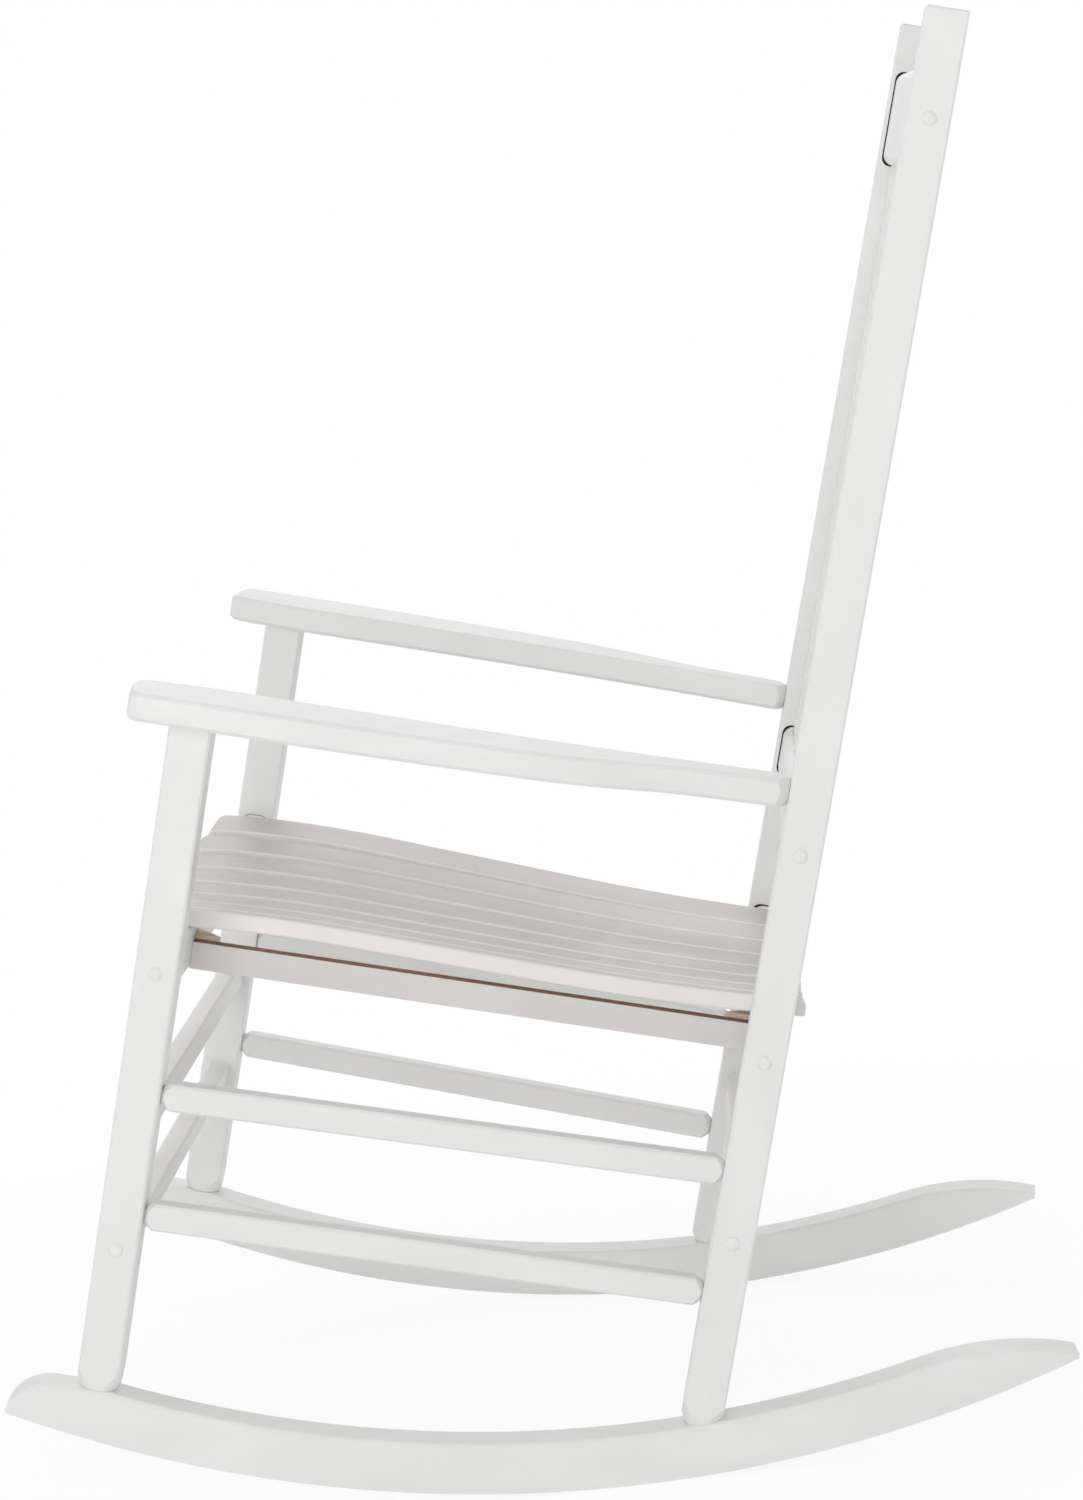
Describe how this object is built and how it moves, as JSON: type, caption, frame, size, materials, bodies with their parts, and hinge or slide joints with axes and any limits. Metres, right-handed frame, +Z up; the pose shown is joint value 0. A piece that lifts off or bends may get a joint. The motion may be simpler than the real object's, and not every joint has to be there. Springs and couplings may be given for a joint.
{
  "type": "slat-back porch rocking chair",
  "caption": "Painted wooden porch rocking chair with a tall slat back, scooped seat of fanned slats, flat arms and long curved rockers.",
  "frame": {"origin": "centre of the bounding box at the floor, with the empty chair at rest on its rockers", "axes": "+Z up, the chair faces -Y, +X is the sitter's left, so the chair is symmetric about X = 0"},
  "size_m": [0.662, 0.8561, 1.1174],
  "materials": {
    "painted_wood": "satin white paint",
    "bare_wood": "unpainted"
  },
  "bodies": {
    "root": {"rocker_left": "painted_wood", "back_post_left": "painted_wood", "front_leg_left": "painted_wood", "arm_left": "painted_wood", "upper_side_stretcher_left": "painted_wood", "lower_side_stretcher_left": "painted_wood", "seat_side_rail_left": "painted_wood", "rocker_right": "painted_wood", "back_post_right": "painted_wood", "front_leg_right": "painted_wood", "arm_right": "painted_wood", "upper_side_stretcher_right": "painted_wood", "lower_side_stretcher_right": "painted_wood", "seat_side_rail_right": "painted_wood", "upper_front_stretcher": "painted_wood", "lower_front_stretcher": "painted_wood", "rear_stretcher": "painted_wood", "crest_rail": "painted_wood", "lower_back_rail": "painted_wood", "rear_seat_rail": "painted_wood", "front_seat_rail": "painted_wood", "back_slat_1": "painted_wood", "back_slat_2": "painted_wood", "back_slat_3": "painted_wood", "back_slat_4": "painted_wood", "back_slat_5": "painted_wood", "back_slat_6": "painted_wood", "back_slat_7": "painted_wood", "back_slat_8": "painted_wood", "back_slat_9": "painted_wood", "seat_slat_1": "painted_wood", "seat_slat_2": "painted_wood", "seat_slat_3": "painted_wood", "seat_slat_4": "painted_wood", "seat_slat_5": "painted_wood", "seat_slat_6": "painted_wood", "seat_slat_7": "painted_wood", "seat_slat_8": "painted_wood", "corner_block_front_left": "bare_wood", "corner_block_rear_left": "bare_wood", "corner_block_front_right": "bare_wood", "corner_block_rear_right": "bare_wood", "button_plugs": "painted_wood"}
  },
  "joints": []
}
